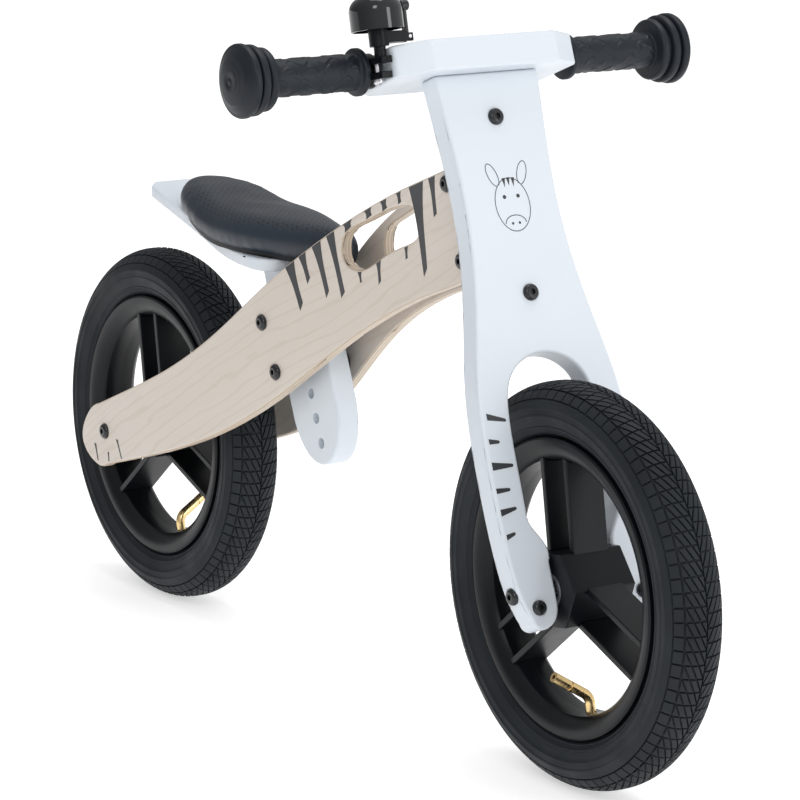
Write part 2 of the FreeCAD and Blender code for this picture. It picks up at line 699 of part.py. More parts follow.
def fork_board():
    """The fork blank: narrow waist, broad shoulders over the wheel, two legs and an arch."""
    def at(side, height):
        return Vector(BOARD_BACK, side, height)

    flank = ((46, BOARD_TOP), (42.7, 335), (41, 290), (44, 242), (52, 196), (62, 145), (65, 95),
             (64, 29), (60.3, 0), (53.5, -20))
    inner = ((LEG_INNER, 20), (31, 37), (37.3, 46.5), (40, 60))
    arch = ((39.4, 105), (38.2, 128), (29, 158), (0, 171.3))
    edges = []
    for side in (-1, 1):
        outer_points = [at(side * y, z) for y, z in flank]
        toe_outer = outer_points[-1]
        toe_low = at(side * 44, -27.3)
        toe_inner = at(side * LEG_INNER, -11)
        shoulder = [at(side * y, z) for y, z in inner]
        arch_points = [at(side * y, z) for y, z in arch]
        edges += [spline(outer_points), arc(toe_outer, at(side * 50.3, -25.8), toe_low),
                  arc(toe_low, at(side * 33, -21.8), toe_inner), line(toe_inner, shoulder[0]),
                  spline(shoulder), line(shoulder[-1], arch_points[0])]
    crown = [at(-y, z) for y, z in arch] + [at(y, z) for y, z in reversed(arch[:-1])]
    edges.append(spline(crown))
    edges.append(line(at(-46, BOARD_TOP), at(46, BOARD_TOP)))
    return prism(edges, Vector(BOARD_THICKNESS, 0, 0))


def lug(span):
    """Knuckle behind the board that holds one end of the steering pin."""
    low, high = span
    knuckle = box(Vector(STEERING_BEHIND, -LUG_HALF_WIDTH, low), Vector(BOARD_BACK, LUG_HALF_WIDTH, high))
    axis_low = Vector(STEERING_BEHIND, 0, low)
    knuckle = knuckle.fuse(cylinder(LUG_HALF_WIDTH, axis_low, Vector(STEERING_BEHIND, 0, high)))
    bore_top = Vector(STEERING_BEHIND, 0, high + 1)
    return knuckle.cut(cylinder(STEERING_PIN_RADIUS, axis_low - Z_AXIS, bore_top))


def plate_screws():
    """Two screws down through the handlebar plate into the board's top."""
    length = PLATE_THICKNESS + 36
    return [aimed(flat_screw(length, 2.5, 5.0), Vector(0, side, PLATE_TOP), Z_AXIS)
            for side in (-26.0, 26.0)]


def write_fork():
    board = fork_board()
    for screw in plate_screws():
        board = board.cut(screw)
    upper = lug(UPPER_LUG)
    lower = lug(LOWER_LUG)
    insert_radius = 4.5
    insert_end = -23.0
    bolts = []
    inserts = []
    for height in FORK_BOLT_HEIGHTS:
        front = Vector(BOARD_FRONT, 0, height)
        back = Vector(BOARD_BACK, 0, height)
        deep = Vector(insert_end, 0, height)
        bolts.append(aimed(button_bolt(BOARD_FRONT - insert_end, M6_RADIUS), front, X_AXIS))
        inserts.append(ring(insert_radius, M6_RADIUS, deep, back))
        hole = cylinder(insert_radius, deep, back)
        upper = upper.cut(hole)
        lower = lower.cut(hole)
        board = board.cut(cylinder(M6_RADIUS, back - X_AXIS, front + X_AXIS))
    leg_bolts = []
    leg_nuts = []
    axle_bolts = []
    washers = []
    for side in (-1, 1):
        place = Vector(BOARD_FRONT, side * LEG_BOLT_SIDE, LEG_BOLT_HEIGHT)
        leg_bolts.append(aimed(button_bolt(BOARD_THICKNESS + 4, 2.5, 5.6), place, X_AXIS))
        board = board.cut(cylinder(2.5, place + X_AXIS, place - X_AXIS * 30))
        back = Vector(BOARD_BACK, place.y, place.z)
        leg_nuts.append(aimed(nut(2.5, 4.8, 3.6), back, -X_AXIS))
        outer = Vector(0, side * (LEG_OUTER_AT_AXLE - 0.8), 0)
        bolt = button_bolt(LEG_OUTER_AT_AXLE - LEG_INNER + 12, M6_RADIUS)
        axle_bolts.append(aimed(bolt, outer, Vector(0, side, 0)))
        board = board.cut(cylinder(M6_RADIUS, ORIGIN + outer * 0.3, outer * 1.5))
        board = board.cut(cylinder(HEAD_RADIUS + 0.4, outer, outer * 1.5))
        washers.append(ring(8.0, AXLE_RADIUS, Vector(0, side * (HUB_HALF_WIDTH + HUB_GAP), 0),
                            Vector(0, side * LEG_INNER, 0)))
    pin_top = Vector(STEERING_BEHIND, 0, UPPER_LUG[1])
    pin = cylinder(STEERING_PIN_RADIUS, Vector(STEERING_BEHIND, 0, LOWER_LUG[0] - 9.0), pin_top)
    pin_head = aimed(button_bolt(0.4, STEERING_PIN_RADIUS, 7.0), pin_top, Z_AXIS)
    pieces = {
        "fork_board": [board], "upper_steering_lug": [upper], "lower_steering_lug": [lower],
        "fork_bolts": bolts, "fork_inserts": inserts, "steering_pin": [pin.fuse(pin_head)],
        "steering_nut": [aimed(nut(STEERING_PIN_RADIUS, 7.5, 7.0),
                               Vector(STEERING_BEHIND, 0, LOWER_LUG[0]), -Z_AXIS)],
        "leg_bolts": leg_bolts, "leg_nuts": leg_nuts, "front_axle": [axle(LEG_INNER)],
        "front_axle_bolts": axle_bolts, "front_axle_washers": washers,
    }
    for node, solids in pieces.items():
        write(node, *[fork_to_row(solid) for solid in solids])


# ---------------------------------------------------------------- handlebar

def handlebar_plate():
    """White block across the board's top, its front corners cut off, bored for the bar."""
    front = 27.0
    shoulder = 12.0
    back = -46.0
    end = 80.0
    corners = [(front, -55), (front, 55), (shoulder, end), (back + 10, end), (back, end - 10),
               (back, 10 - end), (back + 10, -end), (shoulder, -end), (front, -55)]
    outline = Part.makePolygon([Vector(x, y, BOARD_TOP) for x, y in corners])
    block = Part.Face(outline).extrude(Vector(0, 0, PLATE_THICKNESS))
    upright = [edge for edge in block.Edges if abs(edge.tangentAt(edge.FirstParameter).z) > 0.9]
    block = block.makeFillet(6.0, upright)
    rims = [edge for edge in block.Edges if abs(edge.tangentAt(edge.FirstParameter).z) < 0.1]
    block = block.makeFillet(2.0, rims)
    return block.cut(cylinder(BAR_RADIUS, bar_point(-end - 1), bar_point(end + 1)))


def bar_point(side):
    return Vector(BAR_BEHIND, side, BAR_HEIGHT)


def grip():
    """Left grip: inner flange, plain hand part, then three stacked ridges and a domed bumper face."""
    def at(side, radius):
        return Vector(0, side, radius)

    start = GRIP_START
    profile = [
        (start, BAR_RADIUS), (start, 16.8), (start + 0.8, 17.6), (start + 4.2, 17.6), (start + 5, 16.8),
        (start + 5, GRIP_RADIUS), (BUMPER_START, GRIP_RADIUS), (BUMPER_START, 21.4), (171.6, 23.0),
        (175.4, 23.3), (177.0, 21.8), (177.0, 20.0), (178.8, 20.0), (178.8, 24.2), (180.2, 25.6),
        (183.8, 25.8), (185.2, 24.6), (185.2, 21.4), (186.8, 21.4), (186.8, 25.4), (188.2, 26.9),
        (191.6, 26.9), (193.0, 25.4), (193.0, 23.3),
    ]
    edges = [line(at(*a), at(*b)) for a, b in zip(profile, profile[1:])]
    face_radius = 23.3
    bulge = BUMPER_END - 193.0
    sphere = (face_radius ** 2 + bulge ** 2) / (2 * bulge)
    half_turn = math.asin(face_radius / sphere) / 2
    dome_middle = at(BUMPER_END - sphere * (1 - math.cos(half_turn)), sphere * math.sin(half_turn))
    edges.append(arc(at(193.0, face_radius), dome_middle, at(BUMPER_END, 0)))
    edges.append(line(at(BUMPER_END, 0), at(BAR_HALF_LENGTH, 0)))
    edges.append(line(at(BAR_HALF_LENGTH, 0), at(BAR_HALF_LENGTH, BAR_RADIUS)))
    edges.append(line(at(BAR_HALF_LENGTH, BAR_RADIUS), at(start, BAR_RADIUS)))
    body = Part.Face(Part.Wire(edges)).revolve(ORIGIN, Y_AXIS, 360)
    return body.translated(bar_point(0))


def write_handlebar():
    plate = handlebar_plate()
    tube = ring(BAR_RADIUS, BAR_RADIUS - BAR_WALL, bar_point(-BAR_HALF_LENGTH),
                bar_point(BAR_HALF_LENGTH))
    bar_screws = []
    for side in (-55.0, 55.0):
        foot = Vector(BAR_BEHIND, side, PLATE_TOP)
        bar_screws.append(aimed(flat_screw(PLATE_THICKNESS - 4, 2.0, 4.0), foot, Z_AXIS))
    board_screws = plate_screws()
    for screw in bar_screws + board_screws:
        plate = plate.cut(screw)
        tube = tube.cut(screw)
    write("handlebar_plate", fork_to_row(plate))
    write("handlebar_tube", fork_to_row(tube))
    write("handlebar_screws", *[fork_to_row(screw) for screw in bar_screws])
    write("plate_screws", *[fork_to_row(screw) for screw in board_screws])
    left = grip()
    write("left_grip", fork_to_row(left))
    write("right_grip", fork_to_row(mirrored(left)))


# ---------------------------------------------------------------- bell

def bell_to_row(shape):
    """Place a bell piece: turn it on the bar, slide it along, then lean it with the fork."""
    placed = shape.copy()
    seat = Placement(bar_point(BELL_SIDE), Rotation(Y_AXIS, BELL_LEAN_DEG))
    placed.Placement = seat.multiply(placed.Placement)
    return fork_to_row(placed)


def bell_clamp():
    """Split band round the bar with two ribbed ears, a stem under the dome and a hammer bracket."""
    half = CLAMP_HALF_WIDTH
    inner = BAR_RADIUS + 0.1
    ear_start = 10.0
    ear_end = 32.0
    ear_gap = 3.0
    ear_reach = 8.0
    band = ring(13.0, inner, Y_AXIS * -half, Y_AXIS * half)
    body = band.cut(box(Vector(6, -half - 1, -ear_gap), Vector(20, half + 1, ear_gap)))
    body = body.fuse(box(Vector(ear_start, -half, ear_gap), Vector(ear_end, half, ear_reach)))
    body = body.fuse(box(Vector(ear_start, -half, -ear_reach), Vector(ear_end - 2, half, -ear_gap)))
    body = body.cut(cylinder(inner, Y_AXIS * -10, Y_AXIS * 10))
    notch_radius = 0.9
    for x in (14, 17.5, 21, 24.5, 28):
        body = body.cut(cylinder(notch_radius, Vector(x, half + 0.3, -9), Vector(x, half + 0.3, 6)))
    for y in (-3, 0, 3):
        notch_x = ear_end + 0.3
        body = body.cut(cylinder(notch_radius, Vector(notch_x, y, -9), Vector(notch_x, y, 9)))

    foot = Vector(BELL_FORWARD, 0, ear_reach - 0.5)
    shoulder = Vector(BELL_FORWARD, 0, 15.5)
    neck = cylinder(4.4, foot, shoulder)
    stem = cylinder(7.2, shoulder, Vector(BELL_FORWARD, 0, DOME_BASE + 2))
    post = cylinder(3.5, foot, Vector(BELL_FORWARD, 0, DOME_BASE + DOME_HEIGHT - DOME_WALL))
    back = BELL_FORWARD - 6
    front = BELL_FORWARD + 6
    bottom = HAMMER_PIVOT - 3.5
    bracket = box(Vector(back, 0, bottom), Vector(front, HAMMER_SIDE - 3.4, DOME_BASE - 1.4))
    cheeks = box(Vector(back, HAMMER_SIDE - 4, bottom),
                 Vector(front, HAMMER_SIDE + 2.6, HAMMER_PIVOT + 2.6))
    gap = box(Vector(back + 2.7, HAMMER_SIDE - 3.4, bottom - 1),
              Vector(front - 2.7, HAMMER_SIDE + 5, HAMMER_PIVOT + 5))
    body = body.fuse([neck, stem, post, bracket, cheeks]).cut(gap)
    screw_foot = Vector(CLAMP_SCREW_FORWARD, 0, -12)
    body = body.cut(cylinder(BELL_SCREW_RADIUS, screw_foot, Vector(CLAMP_SCREW_FORWARD, 0, 7)))
    return body.cut(cylinder(HAMMER_PIN_RADIUS, hammer_point(-8), hammer_point(8)))


def hammer_point(forward):
    return Vector(BELL_FORWARD + forward, HAMMER_SIDE, HAMMER_PIVOT)


def bell_dome():
    """Pressed steel cup with a rounded shoulder, open below."""
    def cup(radius, top, bottom):
        shoulder = 11.0 * radius / DOME_RADIUS
        bend = shoulder * (1 - math.sqrt(0.5))
        edges = [
            line(Vector(0, 0, bottom), Vector(radius, 0, bottom)),
            line(Vector(radius, 0, bottom), Vector(radius, 0, top - shoulder)),
            arc(Vector(radius, 0, top - shoulder), Vector(radius - bend, 0, top - bend),
                Vector(radius - shoulder, 0, top)),
            line(Vector(radius - shoulder, 0, top), Vector(0, 0, top)),
            line(Vector(0, 0, top), Vector(0, 0, bottom)),
        ]
        return Part.Face(Part.Wire(edges)).revolve(ORIGIN, Z_AXIS, 360)

    top = DOME_BASE + DOME_HEIGHT
    shell = cup(DOME_RADIUS, top, DOME_BASE)
    shell = shell.cut(cup(DOME_RADIUS - DOME_WALL, top - DOME_WALL, DOME_BASE - 5))
    shell = shell.cut(cylinder(BELL_SCREW_RADIUS, Vector(0, 0, top - 3), Vector(0, 0, top + 3)))
    return shell.translated(Vector(BELL_FORWARD, 0, 0))


def bell_hammer():
    """Flat spring arm with a round striker, turning on the pin in the bracket."""
    arm_top = DOME_BASE + 17.0
    arm = box(Vector(BELL_FORWARD - 3, HAMMER_SIDE - 0.9, HAMMER_PIVOT),
              Vector(BELL_FORWARD + 3, HAMMER_SIDE + 0.9, arm_top))
    eye = cylinder(2.3, hammer_point(-3), hammer_point(3))
    striker = cylinder(4.0, Vector(BELL_FORWARD, HAMMER_SIDE - 2.6, arm_top),
                       Vector(BELL_FORWARD, HAMMER_SIDE + 4.0, arm_top))
    rims = [edge for edge in striker.Edges
            if edge.Length > 20 and abs(edge.CenterOfMass.y - HAMMER_SIDE) > 1]
    striker = striker.makeFillet(1.2, rims)
    bore = cylinder(HAMMER_PIN_RADIUS + RUNNING_CLEARANCE, hammer_point(-8), hammer_point(8))
    return arm.fuse([eye, striker]).cut(bore)


def write_bell():
    top = DOME_BASE + DOME_HEIGHT
    dome_screw = aimed(button_bolt(8.0, BELL_SCREW_RADIUS, 4.0), Vector(BELL_FORWARD, 0, top), Z_AXIS)
    clamp = bell_clamp()
    clamp = clamp.cut(cylinder(BELL_SCREW_RADIUS, Vector(BELL_FORWARD, 0, top - 8),
                               Vector(BELL_FORWARD, 0, top + 1)))
    clamp_screw = aimed(button_bolt(15.0, BELL_SCREW_RADIUS, 4.0),
                        Vector(CLAMP_SCREW_FORWARD, 0, -8), -Z_AXIS)
    pin = cylinder(HAMMER_PIN_RADIUS, hammer_point(-6), hammer_point(6))
    pieces = {"bell_clamp": clamp, "bell_clamp_screw": clamp_screw, "bell_dome": bell_dome(),
              "bell_dome_screw": dome_screw, "bell_hammer": bell_hammer(), "bell_hammer_pin": pin}
    for node, solid in pieces.items():
        write(node, bell_to_row(solid))


write_wheel("rear", REAR_X, 1)
write_wheel("front", FRONT_X, -1)
write_frame()
write_rear_axle()
write_seat()
write_fork()
write_handlebar()
write_bell()
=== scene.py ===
"""Looks of the wooden balance bike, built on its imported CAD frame.

Metres in the row frame: +X forward, +Y to the rider's left, +Z up. Sizes named below are in millimetres, as in the
CAD, and go through MM where a point is made.
"""
import bmesh
import bpy
import math
from mathutils import Matrix, Vector
from mathutils.bvhtree import BVHTree


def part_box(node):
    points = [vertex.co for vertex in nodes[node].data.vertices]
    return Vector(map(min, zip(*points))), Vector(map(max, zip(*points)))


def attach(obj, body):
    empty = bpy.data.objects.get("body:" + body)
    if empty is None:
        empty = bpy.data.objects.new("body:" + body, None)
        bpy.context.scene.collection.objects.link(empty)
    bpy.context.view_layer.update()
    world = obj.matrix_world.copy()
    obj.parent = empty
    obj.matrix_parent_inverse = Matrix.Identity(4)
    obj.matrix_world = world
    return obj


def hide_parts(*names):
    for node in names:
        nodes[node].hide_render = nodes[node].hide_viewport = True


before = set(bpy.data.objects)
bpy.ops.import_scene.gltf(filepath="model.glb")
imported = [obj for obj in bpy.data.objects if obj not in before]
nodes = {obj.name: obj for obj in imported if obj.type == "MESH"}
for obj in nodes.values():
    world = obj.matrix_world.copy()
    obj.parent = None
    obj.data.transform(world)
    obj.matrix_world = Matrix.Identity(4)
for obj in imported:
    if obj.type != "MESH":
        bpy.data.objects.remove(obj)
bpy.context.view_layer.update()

MM = 0.001
FRONT_X = 299.0
REAR_X = -299.0
AXLE_Z = 150.0
RAKE = math.radians(21.7)
BOARD_FRONT = 10.0
BAR_HEIGHT = 395.5
BAR_BEHIND = -19.4
HEAD_HALF_WIDTH = 17.0
TAIL_HALF_WIDTH = 65.0
BEND_FRONT_X = 100.0
BEND_REAR_X = -260.0
PLY = 10.0


# ---------------------------------------------------------------- finishes

class Finish:
    """A material being built, with short ways to add and join its nodes."""

    def __init__(self, name, **sockets):
        self.material = bpy.data.materials.new(name)
        self.material.use_nodes = True
        self.tree = self.material.node_tree
        self.shader = self.tree.nodes["Principled BSDF"]
        for socket, value in sockets.items():
            self.shader.inputs[socket.replace("_", " ")].default_value = value
        coordinates = self.tree.nodes.new("ShaderNodeTexCoord")
        self.place = coordinates.outputs["Object"]
        self.normal = coordinates.outputs["Normal"]

    def feed(self, socket, value):
        if isinstance(value, bpy.types.NodeSocket):
            self.tree.links.new(value, socket)
        else:
            socket.default_value = value

    def node(self, kind, inputs=(), **settings):
        made = self.tree.nodes.new("ShaderNode" + kind)
        for key, value in settings.items():
            setattr(made, key, value)
        for key, value in dict(inputs).items():
            self.feed(made.inputs[key], value)
        return made

    def math(self, operation, *values):
        made = self.node("Math", operation=operation)
        for socket, value in zip(made.inputs, values):
            self.feed(socket, value)
        return made.outputs[0]

    def stretched(self, scale, lean=0.0):
        """Coordinates leaned about Y, then scaled along their own axes."""
        turned = self.node("Mapping", {"Vector": self.place, "Rotation": (0, lean, 0)}).outputs[0]
        return self.node("Mapping", {"Vector": turned, "Scale": scale}).outputs[0]

    def noise(self, scale, detail=3.0, vector=None):
        made = self.node("TexNoise", {"Vector": vector or self.place, "Scale": scale, "Detail": detail})
        return made.outputs["Fac"]

    def ramp(self, value, low, high, to_low=0.0, to_high=1.0, smooth=True):
        made = self.node("MapRange", {"Value": value, "From Min": low, "From Max": high, "To Min": to_low,
                                      "To Max": to_high}, interpolation_type="SMOOTHSTEP" if smooth else "LINEAR")
        return made.outputs["Result"]

    def blend(self, factor, first, second):
        made = self.node("Mix", data_type="RGBA")
        for socket, value in ((made.inputs[0], factor), (made.inputs[6], first), (made.inputs[7], second)):
            self.feed(socket, value)
        return made.outputs[2]

    def colour(self, value):
        self.feed(self.shader.inputs["Base Color"], value)

    def roughness(self, value):
        self.feed(self.shader.inputs["Roughness"], value)

    def bump(self, height, distance, strength=1.0, under=None):
        inputs = {"Height": height, "Distance": distance, "Strength": strength}
        if under is not None:
            inputs["Normal"] = under
        made = self.node("Bump", inputs).outputs[0]
        self.tree.links.new(made, self.shader.inputs["Normal"])
        return made


def rgb(red, green, blue):
    return (red, green, blue, 1.0)


def painted_wood():
    """White satin paint with the faint pull of a roller and a little tone from the wood below."""
    paint = Finish("white_paint", Specular_IOR_Level=0.45, Coat_Weight=0.15, Coat_Roughness=0.3)
    cloud = paint.noise(9.0)
    paint.colour(paint.blend(cloud, rgb(0.62, 0.67, 0.725), rgb(0.65, 0.695, 0.745)))
    paint.roughness(paint.ramp(paint.noise(60.0), 0.3, 0.7, 0.38, 0.5))
    peel = paint.noise(900.0, 2.0)
    soft = paint.bump(peel, 0.00006, 0.5)
    paint.bump(paint.noise(14.0, 4.0, paint.stretched((5.0, 5.0, 0.6))), 0.0002, 0.25, soft)
    return paint.material


def birch_ply():
    """Lacquered birch plywood: long veneer grain on the faces and seven plies on the sawn edges."""
    wood = Finish("birch_ply", Specular_IOR_Level=0.4, Coat_Weight=0.12, Coat_Roughness=0.35)
    along = math.radians(31)
    wander = wood.noise(2.2, 3.0, wood.stretched((1.2, 1.0, 9.0), along))
    fibre = wood.noise(30.0, 6.0, wood.stretched((1.5, 4.0, 30.0), along))
    figure_space = wood.stretched((1.3, 1.0, 7.0), along)
    figure = wood.node("TexWave", {"Vector": figure_space, "Scale": 5.0, "Distortion": 14.0, "Detail": 3.0,
                                   "Detail Scale": 0.7, "Detail Roughness": 0.6}, bands_direction="Z").outputs["Fac"]
    line = wood.ramp(figure, 0.86, 0.98, 0.0, 0.30)
    face = wood.blend(wood.ramp(wander, 0.3, 0.7), rgb(0.60, 0.535, 0.475), rgb(0.635, 0.58, 0.52))
    face = wood.blend(line, face, rgb(0.50, 0.41, 0.33))
    face = wood.blend(wood.ramp(fibre, 0.55, 0.8, 0.0, 0.35), face, rgb(0.52, 0.45, 0.38))

    split = wood.node("SeparateXYZ", {"Vector": wood.place})
    travel = wood.ramp(split.outputs["X"], BEND_REAR_X * MM, BEND_FRONT_X * MM, 0.0, 1.0, False)
    half_width = wood.ramp(travel, 0.0, 1.0, TAIL_HALF_WIDTH * MM, HEAD_HALF_WIDTH * MM)
    depth = wood.math("SUBTRACT", half_width, wood.math("ABSOLUTE", split.outputs["Y"]))
    waver = wood.math("MULTIPLY", wood.math("SUBTRACT", wood.noise(40.0), 0.5), 0.0006)
    plies = wood.math("DIVIDE", wood.math("ADD", depth, waver), PLY * MM / 7)
    crossing = wood.math("PINGPONG", plies, 1.0)
    turned = wood.ramp(wood.math("PINGPONG", wood.math("ADD", plies, 0.5), 1.0), 0.42, 0.58)
    glue = wood.ramp(crossing, 0.0, 0.14, 1.0, 0.0)
    end_grain = wood.noise(420.0, 4.0)
    light_ply = wood.blend(end_grain, rgb(0.55, 0.46, 0.37), rgb(0.63, 0.55, 0.46))
    dark_ply = wood.blend(end_grain, rgb(0.43, 0.33, 0.24), rgb(0.51, 0.42, 0.32))
    edge = wood.blend(turned, light_ply, dark_ply)
    edge = wood.blend(wood.math("MULTIPLY", glue, 0.45), edge, rgb(0.33, 0.23, 0.15))
    facing = wood.math("ABSOLUTE", wood.node("SeparateXYZ", {"Vector": wood.normal}).outputs["Y"])
    on_face = wood.ramp(facing, 0.72, 0.86)
    wood.colour(wood.blend(on_face, edge, face))
    wood.roughness(wood.ramp(fibre, 0.3, 0.8, 0.42, 0.58))
    wood.bump(fibre, 0.00012, 0.35)
    return wood.material


def bare_wood():
    """Plain sanded hardwood for the hidden blocks."""
    wood = Finish("bare_wood", Specular_IOR_Level=0.3)
    grain = wood.noise(22.0, 6.0, wood.stretched((1.0, 8.0, 8.0)))
    wood.colour(wood.blend(wood.ramp(grain, 0.3, 0.75), rgb(0.66, 0.50, 0.33), rgb(0.50, 0.34, 0.20)))
    wood.roughness(wood.ramp(grain, 0.3, 0.8, 0.5, 0.7))
    wood.bump(grain, 0.0002, 0.3)
    return wood.material


def moulded(name, dark, light, rough_low, rough_high, speckle=700.0, relief=0.00005, **sockets):
    """Moulded plastic, rubber or paint: two close tones, uneven gloss and a fine skin."""
    skin = Finish(name, **sockets)
    skin.colour(skin.blend(skin.ramp(skin.noise(11.0, 2.0), 0.3, 0.7), rgb(*dark), rgb(*light)))
    skin.roughness(skin.ramp(skin.noise(35.0, 2.0), 0.25, 0.75, rough_low, rough_high))
    skin.bump(skin.noise(speckle, 3.0), relief, 0.6)
    return skin.material


def metal(name, dark, light, rough_low, rough_high, stretch=(1.0, 1.0, 1.0), **sockets):
    """Metal with fine tool marks, drawn out along one direction where it was turned."""
    surface = Finish(name, Metallic=1.0, **sockets)
    marks = surface.noise(420.0, 4.0, surface.stretched(stretch))
    surface.colour(surface.blend(surface.noise(30.0), rgb(*dark), rgb(*light)))
    surface.roughness(surface.ramp(marks, 0.3, 0.7, rough_low, rough_high))
    surface.bump(marks, 0.00002, 0.5)
    return surface.material


def perforated_vinyl():
    """Black grained vinyl with rows of small holes punched through its top, the holes coloured near black as painted
    shade inside them.
    """
    vinyl = Finish("perforated_vinyl", Specular_IOR_Level=0.5)
    pitch = 0.0064
    split = vinyl.node("SeparateXYZ", {"Vector": vinyl.place})
    across = vinyl.math("DIVIDE", split.outputs["Y"], pitch)
    ahead = vinyl.math("DIVIDE", split.outputs["X"], pitch)
    row = vinyl.math("FLOOR", vinyl.math("MULTIPLY", ahead, 2.0))
    shift = vinyl.math("MULTIPLY", vinyl.math("MODULO", row, 2.0), 0.5)
    y_in_cell = vinyl.math("SUBTRACT", vinyl.math("FRACT", vinyl.math("ADD", across, shift)), 0.5)
    x_in_cell = vinyl.math("MULTIPLY", vinyl.math("SUBTRACT", vinyl.math("FRACT", vinyl.math(
        "MULTIPLY", ahead, 2.0)), 0.5), 0.5)
    centre = vinyl.node("CombineXYZ", {"X": x_in_cell, "Y": y_in_cell})
    reach = vinyl.node("VectorMath", {0: centre.outputs[0]}, operation="LENGTH").outputs["Value"]
    top = vinyl.ramp(vinyl.node("SeparateXYZ", {"Vector": vinyl.normal}).outputs["Z"], 0.55, 0.75)
    # Mask of the punched holes on the top: the holes are real, and the near-black colour they get below is painted
    # shade inside them
    hole_and_painted_shade = vinyl.math("MULTIPLY", vinyl.ramp(reach, 0.14, 0.19, 1.0, 0.0), top)
    grain = vinyl.node("TexVoronoi", {"Vector": vinyl.place, "Scale": 1500.0}, feature="SMOOTH_F1").outputs[0]
    tone = vinyl.blend(vinyl.noise(16.0, 4.0), rgb(0.009, 0.016, 0.026), rgb(0.014, 0.024, 0.038))
    # Painted shade: the holes are coloured near black for the shadow inside them; their real depth comes from the bump
    # below
    vinyl.colour(vinyl.blend(hole_and_painted_shade, tone, rgb(0.002, 0.002, 0.003)))
    vinyl.roughness(vinyl.ramp(grain, 0.0, 0.8, 0.34, 0.46))
    skin = vinyl.bump(grain, 0.00012, 0.5)
    vinyl.bump(vinyl.math("SUBTRACT", 1.0, hole_and_painted_shade), 0.0005, 0.8, skin)
    return vinyl.material


WHITE = painted_wood()
BIRCH = birch_ply()
BARE = bare_wood()
NYLON = moulded("black_nylon", (0.0028, 0.0036, 0.0050), (0.0046, 0.0057, 0.0076), 0.30, 0.38, 1600.0, 0.00002,
                Specular_IOR_Level=0.22)
TYRE = moulded("tyre_rubber", (0.0075, 0.0100, 0.0130), (0.0125, 0.0165, 0.0210), 0.52, 0.66, 1100.0, 0.00006,
               Specular_IOR_Level=0.24)
RUBBER = moulded("grip_rubber", (0.0080, 0.0115, 0.0165), (0.0130, 0.0175, 0.0240), 0.40, 0.52, 1300.0, 0.00004,
                 Specular_IOR_Level=0.26)
BLACK_STEEL = moulded("black_steel", (0.005, 0.006, 0.007), (0.008, 0.009, 0.011), 0.22, 0.34, 1500.0, 0.00002,
                      Specular_IOR_Level=0.4, Coat_Weight=0.2, Coat_Roughness=0.2)
BELL_BLACK = moulded("bell_black", (0.004, 0.005, 0.006), (0.006, 0.008, 0.010), 0.08, 0.14, 300.0, 0.000005,
                     Specular_IOR_Level=0.35, Coat_Weight=0.4, Coat_Roughness=0.04)
INK = moulded("print_ink", (0.024, 0.025, 0.029), (0.034, 0.035, 0.040), 0.42, 0.55, 900.0, 0.00003)
STEEL = metal("zinc_steel", (0.50, 0.50, 0.52), (0.66, 0.66, 0.68), 0.22, 0.38, (1.0, 6.0, 1.0))
BRASS = metal("brass", (0.72, 0.50, 0.22), (0.86, 0.66, 0.34), 0.20, 0.34)
VINYL = perforated_vinyl()

CARRIED = {
    BARE: ("head_block",),
    WHITE: ("handlebar_plate",),
    NYLON: ("seat_pan", "front_axle_washers", "head_bushings", "seat_spacers", "rear_axle_spacers", "front_rim", "rear_rim"),
    TYRE: ("front_inner_tube", "rear_inner_tube"),
    BLACK_STEEL: ("head_bolts", "head_nuts", "seat_bolts", "seat_nuts", "rear_axle_bolts", "fork_bolts", "leg_bolts",
                  "leg_nuts", "front_axle_bolts", "handlebar_tube", "handlebar_screws", "plate_screws", "bell_hammer"),
    BELL_BLACK: ("bell_dome", "bell_dome_screw"),
    STEEL: ("rear_axle", "front_axle", "steering_pin", "steering_nut", "fork_inserts",
            "bell_clamp_screw", "bell_hammer_pin", "seat_board_screws", "seat_post_screws", "front_bearings",
            "rear_bearings"),
    BRASS: ("front_valve", "rear_valve"),
}
for material, names in CARRIED.items():
    for name in names:
        slots = nodes[name].material_slots
        for slot in slots:
            slot.material = material
        if not slots:
            nodes[name].data.materials.append(material)


# ---------------------------------------------------------------- making pieces

def add_piece(name, mesh, material, body, sharp_deg=35.0):
    """Link a finished mesh, give it its material and let it ride on a body."""
    mesh.materials.clear()
    mesh.materials.append(material)
    for polygon in mesh.polygons:
        polygon.use_smooth = True
    mesh.set_sharp_from_angle(angle=math.radians(sharp_deg))
    piece = bpy.data.objects.new(name, mesh)
    bpy.context.scene.collection.objects.link(piece)
    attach(piece, body)
    return piece


def mesh_from(name, points, faces):
    mesh = bpy.data.meshes.new(name)
    mesh.from_pydata([Vector(p) * MM for p in points], [], faces)
    mesh.validate()
    return mesh


def long_runs(edges, least=0.1):
    """The edges that join into runs longer than least, so bolt holes and small recesses stay crisp."""
    left = set(edges)
    kept = []
    while left:
        run = [left.pop()]
        for edge in run:
            for vertex in edge.verts:
                for beside in vertex.link_edges:
                    if beside in left:
                        left.remove(beside)
                        run.append(beside)
        if sum(edge.calc_length() for edge in run) > least:
            kept += run
    return kept


